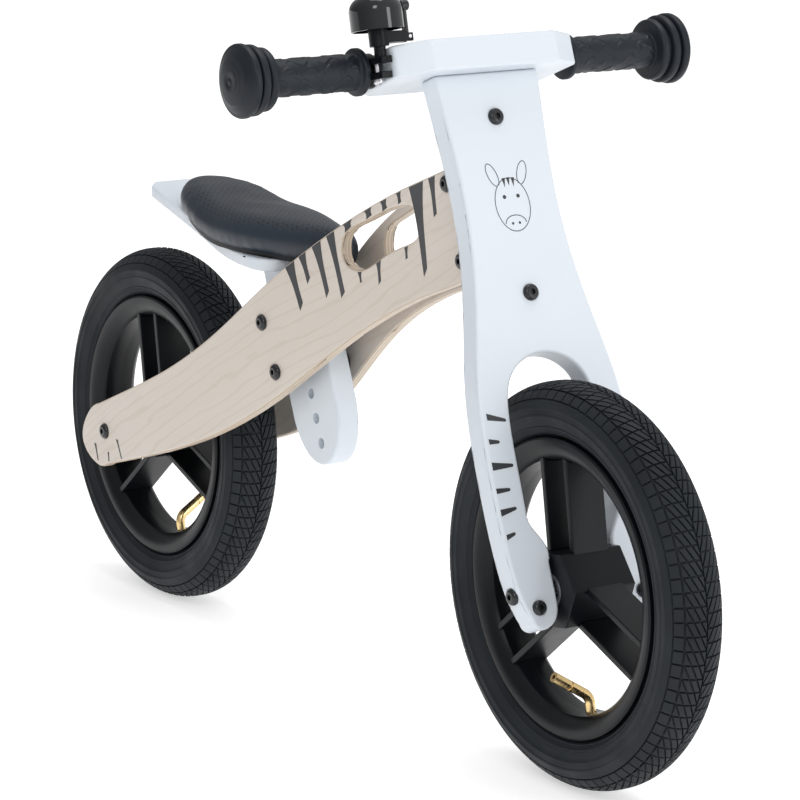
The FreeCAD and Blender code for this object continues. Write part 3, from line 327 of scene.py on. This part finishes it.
def softened(node, radius, material, body):
    """A copy of a CAD node with its sharp edges rounded, shown in the node's place."""
    work = bmesh.new()
    work.from_mesh(nodes[node].data)
    bmesh.ops.remove_doubles(work, verts=work.verts, dist=1e-6)
    bmesh.ops.dissolve_limit(work, angle_limit=math.radians(0.1), verts=work.verts, edges=work.edges)
    sharp = long_runs([edge for edge in work.edges if len(edge.link_faces) == 2
                       and edge.calc_face_angle() > math.radians(40)])
    bmesh.ops.bevel(work, geom=sharp, offset=radius * MM, offset_type="OFFSET", segments=3, profile=0.5,
                    affect="EDGES", clamp_overlap=False)
    mesh = bpy.data.meshes.new(node + "_soft")
    work.to_mesh(mesh)
    work.free()
    piece = add_piece(node + "_soft", mesh, material, body, 50.0)
    weighted = piece.modifiers.new("even_faces", "WEIGHTED_NORMAL")
    weighted.keep_sharp = True
    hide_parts(node)
    return piece


def fork_point(forward, side, up):
    """Row position in millimetres of a point given in fork axes."""
    x = FRONT_X + forward * math.cos(RAKE) - up * math.sin(RAKE)
    z = AXLE_Z + forward * math.sin(RAKE) + up * math.cos(RAKE)
    return Vector((x, side, z))


def half_width_at(x):
    t = min(max((BEND_FRONT_X - x) / (BEND_FRONT_X - BEND_REAR_X), 0.0), 1.0)
    return HEAD_HALF_WIDTH + (TAIL_HALF_WIDTH - HEAD_HALF_WIDTH) * t * t * (3 - 2 * t)


SOFT_EDGES = (
    ("right_side_plate", 2.0, BIRCH, "frame", "birch"),
    ("left_side_plate", 2.0, BIRCH, "frame", "birch"),
    ("seat_post", 2.0, WHITE, "frame", "white_paint"),
    ("seat_board", 2.0, WHITE, "frame", "white_paint"),
    ("fork_board", 2.6, WHITE, "fork", "white_paint"),
    ("upper_steering_lug", 1.6, WHITE, "fork", "white_paint"),
    ("lower_steering_lug", 1.6, WHITE, "fork", "white_paint"),
    ("bell_clamp", 0.4, NYLON, "fork", "black_nylon"),
    ("front_hub", 1.0, NYLON, "front_wheel", "black_nylon"),
    ("rear_hub", 1.0, NYLON, "rear_wheel", "black_nylon"),
    ("front_spokes", 0.9, NYLON, "front_wheel", "black_nylon"),
    ("rear_spokes", 0.9, NYLON, "rear_wheel", "black_nylon"),
)
for node, radius, material, body, slot_name in SOFT_EDGES:
    softened(node, radius, material, body)


# ---------------------------------------------------------------- tyres

CROWN = (150.0, 0.0)
SHOULDER = (144.6, 16.6)
SIDE = (131.0, 24.35)
TREAD_DEPTH = 1.7
PITCHES = 88
TREAD_WIDTH = 17.0
SHOULDER_END = 25.0
DIAGONAL_SLOPE = 0.5


def circle_through(a, b, c):
    """Centre and radius of the circle through three points of the tyre's section."""
    (ax, ay), (bx, by), (cx, cy) = a, b, c
    d = 2 * (ax * (by - cy) + bx * (cy - ay) + cx * (ay - by))
    a2, b2, c2 = ax * ax + ay * ay, bx * bx + by * by, cx * cx + cy * cy
    x = (a2 * (by - cy) + b2 * (cy - ay) + c2 * (ay - by)) / d
    y = (a2 * (cx - bx) + b2 * (ax - cx) + c2 * (bx - ax)) / d
    return x, y, math.hypot(ax - x, ay - y)


TREAD_CIRCLE = circle_through(CROWN, SHOULDER, SIDE)


def tread_section(v, height):
    """(radius, side) of a tread point at arc length v from the crown, raised by height."""
    x, y, r = TREAD_CIRCLE
    start = math.atan2(CROWN[1] - y, CROWN[0] - x)
    angle = start + v / r
    return x + (r + height) * math.cos(angle), y + (r + height) * math.sin(angle)


def on_wheel(u, radius, side, axle_x):
    """Row position of a tyre point at u millimetres round the crown."""
    angle = u / CROWN[0]
    return Vector((axle_x + radius * math.cos(angle), side, AXLE_Z + radius * math.sin(angle)))


def carcass(axle_x):
    """The tyre's body: a smooth band under the tread, ringed side walls and a hollow inside."""
    half = []
    for v in (0.0, 3.0, 6.0, 9.0, 12.0, 15.0, 18.0, 21.0, 23.5):
        half.append(tread_section(v, -TREAD_DEPTH))
    half += [tread_section(25.4, -1.3), tread_section(26.2, -0.2), tread_section(27.4, 0.0)]
    half += [(133.4, 23.6), (132.9, 24.3), (131.6, 24.35), (131.0, 23.8), (127.6, 23.7), (127.1, 24.1), (126.2, 24.0),
             (125.8, 23.4), (122.4, 22.4), (118.8, 20.9), (118.3, 21.3), (117.2, 20.9), (116.9, 20.2), (114.2, 18.4),
             (113.6, 18.6), (112.6, 17.6), (112.4, 16.9), (110.8, 15.0), (110.6, 14.2), (105.0, 14.2), (105.0, 9.0),
             (112.0, 10.6), (120.0, 17.8), (130.5, 20.4), (139.0, 15.4), (144.4, 8.0), (145.6, 0.0)]
    section = half + [(radius, -side) for radius, side in reversed(half[1:-1])]
    turns = 288
    count = len(section)
    points = []
    faces = []
    for step in range(turns):
        for radius, side in section:
            points.append(on_wheel(2 * math.pi * CROWN[0] * step / turns, radius, side, axle_x))
        for k in range(count):
            here = step * count + k
            beside = step * count + (k + 1) % count
            ahead = ((step + 1) % turns) * count
            faces.append((here, beside, ahead + (k + 1) % count, ahead + k))
    return points, faces


def clipped(polygon, low, high):
    """The part of a polygon whose v lies between two values."""
    for limit, sign in ((low, 1.0), (high, -1.0)):
        kept = []
        for (u0, v0), (u1, v1) in zip(polygon, polygon[1:] + polygon[:1]):
            inside0 = sign * (v0 - limit) >= 0
            inside1 = sign * (v1 - limit) >= 0
            if inside0:
                kept.append((u0, v0))
            if inside0 != inside1:
                part = (limit - v0) / (v1 - v0)
                kept.append((u0 + part * (u1 - u0), limit))
        polygon = kept
        if len(polygon) < 3:
            return []
    return polygon


def polygon_area(polygon):
    pairs = zip(polygon, polygon[1:] + polygon[:1])
    return abs(sum(u0 * v1 - u1 * v0 for (u0, v0), (u1, v1) in pairs)) / 2


def tread_blocks():
    """Outlines of one side's blocks over one pitch: slanted bricks, then square shoulder blocks."""
    pitch = 2 * math.pi * CROWN[0] / PITCHES
    step = DIAGONAL_SLOPE * pitch
    gap = 0.62
    start = gap
    stop = pitch - gap
    blocks = []
    for row in range(-1, 4):
        low = row * step + gap
        high = (row + 1) * step - gap
        outline = [(start, low + DIAGONAL_SLOPE * start), (stop, low + DIAGONAL_SLOPE * stop),
                   (stop, high + DIAGONAL_SLOPE * stop), (start, high + DIAGONAL_SLOPE * start)]
        outline = clipped(outline, 0.5, TREAD_WIDTH - gap)
        if outline and polygon_area(outline) > 3.0:
            blocks.append(outline)
    blocks.append([(start, TREAD_WIDTH + gap), (stop, TREAD_WIDTH + gap), (stop, SHOULDER_END),
                   (start, SHOULDER_END)])
    return blocks, pitch


def add_block(points, faces, outline, side_sign, offset, axle_x):
    """One raised block: a top that follows the tyre's curve and four walls down into its body."""
    fine = []
    for (u0, v0), (u1, v1) in zip(outline, outline[1:] + outline[:1]):
        cuts = 2 if math.hypot(u1 - u0, v1 - v0) > 4.0 else 1
        fine += [(u0 + (u1 - u0) * k / cuts, v0 + (v1 - v0) * k / cuts) for k in range(cuts)]
    middle = (sum(u for u, v in fine) / len(fine), sum(v for u, v in fine) / len(fine))
    first = len(points)
    for height, spread in ((0.0, -0.22), (-0.25, 0.0), (-TREAD_DEPTH - 0.4, 0.18)):
        for u, v in fine:
            du, dv = u - middle[0], v - middle[1]
            length = math.hypot(du, dv)
            u2, v2 = u + spread * du / length, v + spread * dv / length
            radius, side = tread_section(max(v2, 0.0), height)
            points.append(on_wheel(u2 + offset, radius, side_sign * side, axle_x))
    radius, side = tread_section(middle[1], 0.0)
    points.append(on_wheel(middle[0] + offset, radius, side_sign * side, axle_x))
    count = len(fine)
    for k in range(count):
        after = (k + 1) % count
        quads = [(first + k, first + after, first + 3 * count)]
        for ring in range(2):
            base = first + ring * count
            quads.append((base + count + k, base + count + after, base + after, base + k))
        for quad in quads:
            faces.append(quad if side_sign < 0 else tuple(reversed(quad)))


def make_tyre(name, axle_x):
    points, faces = carcass(axle_x)
    blocks, pitch = tread_blocks()
    for index in range(PITCHES):
        for side_sign in (-1, 1):
            shift = index * pitch + (0.5 * pitch if side_sign > 0 else 0.0)
            for outline in blocks:
                add_block(points, faces, outline, side_sign, shift, axle_x)
    mesh = mesh_from(name + "_tyre_tread", points, faces)
    piece = add_piece(name + "_tyre_tread", mesh, TYRE, name + "_wheel", 40.0)
    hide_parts(name + "_tyre")


make_tyre("front", FRONT_X)
make_tyre("rear", REAR_X)


# ---------------------------------------------------------------- grips

HAND_RADIUS = 13.5


def grip_wave(y, angle):
    """Height of the raised wavy strokes on the hand part, from 0 to 1."""
    along = (y - 98.0) / 7.0
    total = 0.0
    lane = (angle / (2 * math.pi) * 9) % 9
    for near in (math.floor(lane), math.floor(lane) + 1):
        swing = 0.30 * math.sin(2 * math.pi * along / 2.6 + 1.3 * near)
        distance = abs(lane - near - swing)
        gap = math.sin(2 * math.pi * along / 3.7 + 2.1 * (near % 9))
        if gap > -0.75:
            total = max(total, min(1.0, max(0.0, 0.24 - distance) / 0.10) * min(1.0, (gap + 0.75) / 0.2))
    ends = min(1.0, max(0.0, (y - 97.0) / 2.0), max(0.0, (168.0 - y) / 2.0))
    return total * ends


def make_grip(name, side_sign):
    start = 90.0
    profile = [(start, 9.2), (start, 16.4), (start + 0.4, 17.2), (start + 1.1, 17.6), (start + 3.9, 17.6),
               (start + 4.6, 17.2), (start + 5.0, 16.4), (start + 5.2, 14.6), (start + 6.0, 13.8)]
    profile += [(start + 7.0 + 0.6 * k, HAND_RADIUS) for k in range(121)]
    profile += [(169.4, 13.9), (169.9, 15.0), (170.0, 20.6), (170.4, 22.0), (171.6, 23.0), (174.4, 23.3),
                (176.2, 22.8), (177.0, 21.6), (177.0, 20.2), (178.0, 19.8), (178.8, 20.3), (178.8, 23.9),
                (179.4, 25.1), (180.6, 25.7), (183.2, 25.8), (184.6, 25.3), (185.2, 24.2), (185.3, 21.6),
                (186.1, 21.2), (186.8, 21.7), (186.8, 25.2), (187.4, 26.3), (188.6, 26.9), (191.2, 26.9),
                (192.5, 26.3), (193.0, 25.1), (193.1, 23.8), (194.0, 22.9), (195.4, 20.6), (197.0, 17.0),
                (197.2, 16.9), (198.2, 12.6), (198.4, 12.5), (199.1, 8.4), (199.3, 8.3), (199.7, 4.2),
                (199.2, 3.6), (199.1, 2.8), (199.6, 2.0), (199.7, 0.01)]
    turns = 180
    points = []
    faces = []
    for y, radius in profile:
        for step in range(turns):
            angle = 2 * math.pi * step / turns
            r = radius + (0.55 * grip_wave(y, angle) if radius == HAND_RADIUS else 0.0)
            points.append(fork_point(BAR_BEHIND + r * math.cos(angle), side_sign * y, BAR_HEIGHT + r * math.sin(angle)))
    for ring in range(len(profile) - 1):
        for step in range(turns):
            after = (step + 1) % turns
            quad = (ring * turns + step, ring * turns + after, (ring + 1) * turns + after, (ring + 1) * turns + step)
            faces.append(quad if side_sign > 0 else tuple(reversed(quad)))
    mesh = mesh_from(name + "_moulded", points, faces)
    piece = add_piece(name + "_moulded", mesh, RUBBER, "fork", 50.0)
    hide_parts(name)


make_grip("left_grip", 1)
make_grip("right_grip", -1)


# ---------------------------------------------------------------- saddle cushion

CUSHION_VOXEL = 0.004
CUSHION_CAP = 0.006
CUSHION_FRAMES = 20
SEAT_LEVEL = 330.0
SEAT_BEND_X = -150.0
SEAT_BEND_RADIUS = 160.0
SEAT_BEND_DEG = 13.0


def seat_rise(x):
    """Height of the seat board above its level front, where its tail bends up."""
    bend = math.radians(SEAT_BEND_DEG)
    bend_end = SEAT_BEND_X - SEAT_BEND_RADIUS * math.sin(bend)
    if x >= SEAT_BEND_X:
        return 0.0
    if x >= bend_end:
        return SEAT_BEND_RADIUS - math.sqrt(SEAT_BEND_RADIUS ** 2 - (SEAT_BEND_X - x) ** 2)
    return SEAT_BEND_RADIUS * (1 - math.cos(bend)) + (bend_end - x) * math.tan(bend)


def over_seat(co):
    """Height in millimetres of a saddle point above the board's bent top."""
    return co.z / MM - SEAT_LEVEL - seat_rise(co.x / MM)


def inflate(piece):
    """Let the cover swell under the foam's pressure, then keep each point near its CAD place."""
    still = [vertex.co.copy() for vertex in piece.data.vertices]
    cloth = piece.modifiers.new("swell", "CLOTH")
    cloth.settings.quality = 6
    cloth.settings.mass = 0.15
    cloth.settings.tension_stiffness = 15
    cloth.settings.compression_stiffness = 15
    cloth.settings.bending_stiffness = 20.0
    cloth.settings.use_pressure = True
    cloth.settings.uniform_pressure_force = 3.0
    cloth.settings.effector_weights.gravity = 0.0
    pinned = piece.vertex_groups.new(name="base")
    floor_z = min(vertex.co.z for vertex in piece.data.vertices)
    low = [v.index for v in piece.data.vertices if v.normal.z < -0.6 or v.co.z < floor_z + 0.004]
    pinned.add(low, 1.0, "REPLACE")
    cloth.settings.vertex_group_mass = "base"
    scene = bpy.context.scene
    for step in range(1, CUSHION_FRAMES + 1):
        scene.frame_set(step)
    view = bpy.context.evaluated_depsgraph_get()
    swollen = [vertex.co.copy() for vertex in piece.evaluated_get(view).data.vertices]
    piece.modifiers.remove(cloth)
    scene.frame_set(1)
    for vertex, before, after in zip(piece.data.vertices, still, swollen):
        move = after - before
        if move.length > CUSHION_CAP:
            move = move.normalized() * CUSHION_CAP
        vertex.co = before + move


def baked(piece, kind, **settings):
    """Run one modifier on a piece and keep its result as the piece's mesh."""
    made = piece.modifiers.new("once", kind)
    for key, value in settings.items():
        setattr(made, key, value)
    settled = bpy.data.meshes.new_from_object(piece.evaluated_get(bpy.context.evaluated_depsgraph_get()))
    piece.modifiers.clear()
    piece.data = settled


def crowned(share):
    """How far in from the rim the cover stands at a share of its height, as part of its half width."""
    if share < 0.3:
        return 0.90 + 0.10 * math.sin(math.pi * share / 0.6)
    fall = (share - 0.3) / 0.7
    return 1.0 - 0.26 * fall ** 2.2


def make_cushion():
    low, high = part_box("seat_cushion")
    mesh = nodes["seat_cushion"].data.copy()
    piece = bpy.data.objects.new("seat_cover", mesh)
    bpy.context.scene.collection.objects.link(piece)
    baked(piece, "REMESH", mode="VOXEL", voxel_size=CUSHION_VOXEL)
    middle = (low + high) / 2
    thickness = 27.0
    for vertex in piece.data.vertices:
        share = min(max((over_seat(vertex.co) - 4.0) / thickness, 0.0), 1.0)
        keep = crowned(share)
        ahead = (vertex.co.x - middle.x) / (high.x - middle.x)
        vertex.co.y *= keep
        vertex.co.x -= (1 - keep) * 0.024 * ahead
        vertex.co.z -= 0.0035 * max(0.0, 1 - share / 0.3)
        tail = min(max((-0.19 - vertex.co.x) / 0.06, 0.0), 1.0)
        vertex.co.z -= 0.006 * share * tail * tail * (3 - 2 * tail)
    baked(piece, "SMOOTH", iterations=8)
    inflate(piece)
    baked(piece, "SMOOTH", iterations=14)
    for vertex in piece.data.vertices:
        co = vertex.co
        height = over_seat(co) - 3.0
        if height < 12 and vertex.normal.z < 0.5:
            around = math.atan2(co.y / (high.y - middle.y), (co.x - middle.x) / (high.x - middle.x))
            pleat = max(0.0, math.sin(around * 58 + 2.2 * math.sin(around * 7)))
            tuck = Vector((co.x - middle.x, co.y, 0)).normalized()
            vertex.co -= tuck * (0.0011 * pleat * (1 - max(height, 0.0) / 12))
    piece.data.materials.clear()
    piece.data.materials.append(VINYL)
    for polygon in piece.data.polygons:
        polygon.use_smooth = True
    finer = piece.modifiers.new("finer", "SUBSURF")
    finer.levels = 1
    finer.render_levels = 1
    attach(piece, "frame")
    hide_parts("seat_cushion")
    return piece


make_cushion()


# ---------------------------------------------------------------- prints

PRINT_LIFT = 0.12


def plate_print(corners):
    """A stripe on the right plate's outer face, from its two root corners to its two tip corners."""
    left0, right0, left1, right1 = [Vector(corner) for corner in corners]
    rows = 14
    across = 6
    points = []
    faces = []
    for i in range(rows + 1):
        t = i / rows
        pinch = 0.15 * math.sin(math.pi * t)
        left = left0.lerp(left1, t)
        right = right0.lerp(right1, t)
        left, right = left.lerp(right, pinch), right.lerp(left, pinch)
        for j in range(across + 1):
            x, z = left.lerp(right, j / across)
            points.append((x, -half_width_at(x) - PRINT_LIFT, z))
    for i in range(rows):
        for j in range(across):
            k = i * (across + 1) + j
            faces.append((k, k + 1, k + across + 2, k + across + 1))
    return points, faces


def merge(parts):
    points = []
    faces = []
    for part_points, part_faces in parts:
        base = len(points)
        points += part_points
        faces += [tuple(base + k for k in face) for face in part_faces]
    return points, faces


STRIPE_INSET = 1.5
plate_mesh = nodes["right_side_plate"].data
plate_tree = BVHTree.FromPolygons([vertex.co for vertex in plate_mesh.vertices],
                                  [polygon.vertices for polygon in plate_mesh.polygons])


def plate_edge(x, above):
    """Height of the right plate's first edge under a given height, less the inset of the print."""
    start = Vector((x, 4 - half_width_at(x), above)) * MM
    return plate_tree.ray_cast(start, Vector((0, 0, -1)))[0].z / MM - STRIPE_INSET


def stripe_corners(x, width, lean, drop, tip, height):
    """Corners of a stripe from its place, root width, forward lean, length down and tip width."""
    left, right = x - width / 2, x + width / 2
    return ((left, height(left)), (right, height(right)),
            (x + lean - tip / 2, height(left) - drop), (x + lean + tip / 2, height(right) - drop))


# Place along the bike, root width, forward lean, length down, tip width
UPPER_STRIPES = (
    (-50, 10, 14, 32, 3), (-36, 8, 8, 20, 3), (-20, 10, 14, 38, 3), (-4, 9, 16, 46, 4), (16, 11, 1, 6, 8),
    (40, 9, 2, 6, 7), (59, 8, 2, 7, 6), (78, 6, 2, 8, 4), (101, 19, 15, 65, 4), (122, 9, 6, 28, 4),
)
HANDLE_STRIPES = ((31, 5, 2, 8, 2), (54, 6, 2, 16, 3), (89, 5, 1, 9, 3))
TAIL_STRIPES = ((-316, 136, 4, 5, 14, 2), (-293, 133, 3, 1, 8, 2), (-278, 147, 4, 8, 15, 2))


def plate_stripes():
    """Stripes under the plate's upper edge, under the hand hole and on the tail."""
    made = [stripe_corners(*stripe, lambda x: plate_edge(x, 600)) for stripe in UPPER_STRIPES]
    made += [stripe_corners(*stripe, lambda x: plate_edge(x, 330 + x / 2)) for stripe in HANDLE_STRIPES]
    made += [stripe_corners(x, *stripe, lambda _: z) for x, z, *stripe in TAIL_STRIPES]
    return made


points, faces = merge([plate_print(corners) for corners in plate_stripes()])
add_piece("plate_stripes", mesh_from("plate_stripes", points, faces), INK, "frame")


def board_patch(outline):
    """A flat printed shape on the board's front face, from (side, up) points."""
    points = [fork_point(BOARD_FRONT + PRINT_LIFT, side, up) for side, up in outline]
    return points, [tuple(range(len(points)))]


def board_line(path, width, closed=False):
    """A printed line of even width along (side, up) points."""
    path = [Vector(p) for p in path]
    count = len(path)
    points = []
    faces = []
    for k, here in enumerate(path):
        before = path[k - 1] if closed or k else here
        after = path[(k + 1) % count] if closed or k < count - 1 else here
        along = (after - before).normalized()
        normal = Vector((-along.y, along.x)) * (width / 2)
        for p in (here - normal, here + normal):
            points.append(fork_point(BOARD_FRONT + PRINT_LIFT, p.x, p.y))
    for k in range(count if closed else count - 1):
        a, b = 2 * k, 2 * ((k + 1) % count)
        faces.append((a, b, b + 1, a + 1))
    return points, faces


def ellipse(side, up, half_side, half_up, start=0, stop=360, tilt=0.0, steps=40):
    """Points round part of an ellipse, in degrees, tilted about its centre."""
    turn = math.radians(tilt)
    made = []
    for k in range(steps + 1):
        a = math.radians(start + (stop - start) * k / steps)
        x, y = half_side * math.cos(a), half_up * math.sin(a)
        made.append((side + x * math.cos(turn) - y * math.sin(turn), up + x * math.sin(turn) + y * math.cos(turn)))
    return made


# Height up the leg, root width, length inwards, drop of the tip
LEG_STRIPES = ((130, 5, 16, 4), (112, 4, 9, 1), (94, 6, 18, 1), (76, 4, 12, 0), (60, 5, 14, -2), (42, 4, 8, -2))


def leg_prints():
    """Six short tapered stripes that start at the outer edge of the right leg."""
    parts = []
    for up, width, length, drop in LEG_STRIPES:
        side = 0.0012 * (up - 72) ** 2 - 62.8
        tip = side + length
        outline = [(side, up + width / 2), (side, up - width / 2), (tip - 0.8, up - drop - 1.2),
                   (tip, up - drop - 0.5), (tip, up - drop + 0.5), (tip - 0.8, up - drop + 1.2)]
        parts.append(board_patch(outline))
    return parts


def foal_prints():
    """A plain line drawing of an animal's head, between the two bolts of the board."""
    line_width = 0.6
    parts = [board_line(ellipse(0, 282, 15, 20), line_width), board_line(ellipse(0, 268, 9, 6, 0, 180), line_width)]
    for sign in (-1, 1):
        parts.append(board_line(ellipse(sign * 13, 305, 4, 9, -75, 255, tilt=-sign * 20), line_width))
        parts.append(board_patch(ellipse(sign * 6, 288, 1.5, 1.5)[:-1]))
        parts.append(board_patch(ellipse(sign * 3, 268, 1, 1)[:-1]))
    for side in (-4, 0, 4):
        parts.append(board_patch([(side - 1.5, 302), (side + 1.5, 302), (side, 296 - abs(side) / 4)]))
    return parts


points, faces = merge(leg_prints())
add_piece("leg_stripes", mesh_from("leg_stripes", points, faces), INK, "fork")
points, faces = merge(foal_prints())
add_piece("foal_drawing", mesh_from("foal_drawing", points, faces), INK, "fork")


# ---------------------------------------------------------------- stage, light and camera

def make_floor():
    bpy.ops.mesh.primitive_plane_add(size=40.0, location=(0, 0, -0.0005))
    floor = bpy.context.object
    floor.name = "floor"
    surface = Finish("floor_pale", Specular_IOR_Level=0.2)
    surface.colour(rgb(0.86, 0.86, 0.86))
    surface.roughness(0.8)
    surface.feed(surface.shader.inputs["Emission Color"], rgb(1.0, 1.0, 1.0))
    surface.feed(surface.shader.inputs["Emission Strength"], 0.52)
    floor.data.materials.append(surface.material)


def area_light(name, place, aim, size, power):
    data = bpy.data.lights.new(name, "AREA")
    data.shape = "RECTANGLE"
    data.size, data.size_y = size
    data.energy = power
    lamp = bpy.data.objects.new(name, data)
    lamp.location = place
    lamp.rotation_euler = (Vector(aim) - Vector(place)).to_track_quat("-Z", "Y").to_euler()
    bpy.context.scene.collection.objects.link(lamp)


def make_light():
    world = bpy.data.worlds.new("studio")
    world.use_nodes = True
    tree = world.node_tree
    backdrop = tree.nodes["Background"]
    backdrop.inputs["Color"].default_value = rgb(1.0, 1.0, 1.0)
    facing = tree.nodes.new("ShaderNodeVectorMath")
    facing.operation = "DOT_PRODUCT"
    facing.inputs[1].default_value = (0.72, 0.42, 0.55)
    tree.links.new(tree.nodes.new("ShaderNodeTexCoord").outputs["Generated"], facing.inputs[0])
    glow = tree.nodes.new("ShaderNodeMapRange")
    glow.inputs["From Min"].default_value = -1.0
    glow.inputs["To Min"].default_value = 0.20
    glow.inputs["To Max"].default_value = 0.84
    tree.links.new(facing.outputs["Value"], glow.inputs["Value"])
    tree.links.new(glow.outputs["Result"], backdrop.inputs["Strength"])
    bpy.context.scene.world = world
    area_light("key", (2.2, -1.6, 2.2), (0, 0, 0.25), (0.8, 1.1), 16)
    area_light("front", (3.0, 1.2, 1.0), (0, 0, 0.25), (0.7, 1.6), 16)
    area_light("top", (-0.3, 0.4, 3.2), (0, 0, 0.2), (1.8, 1.8), 34)


def make_camera():
    """Seen from ahead and to the rider's right, a little above."""
    azimuth, elevation, roll = math.radians(56.76), math.radians(12.9), math.radians(0.69)
    back = Vector((math.sin(azimuth) * math.cos(elevation), -math.cos(azimuth) * math.cos(elevation),
                   math.sin(elevation)))
    right = Vector((0, 0, 1)).cross(back).normalized()
    up = back.cross(right)
    right, up = (right * math.cos(roll) + up * math.sin(roll), up * math.cos(roll) - right * math.sin(roll))
    sight = Matrix((right, up, back)).transposed()
    data = bpy.data.cameras.new("camera")
    data.sensor_width = 36.0
    data.lens = 168.17
    data.clip_end = 60.0
    camera = bpy.data.objects.new("camera", data)
    place = sight @ Vector((0.0339, 0.2229, 2.9877))
    camera.matrix_world = Matrix.Translation(place) @ sight.to_4x4()
    bpy.context.scene.collection.objects.link(camera)
    bpy.context.scene.camera = camera


make_floor()
make_light()
make_camera()
bpy.context.scene.view_settings.view_transform = "Standard"
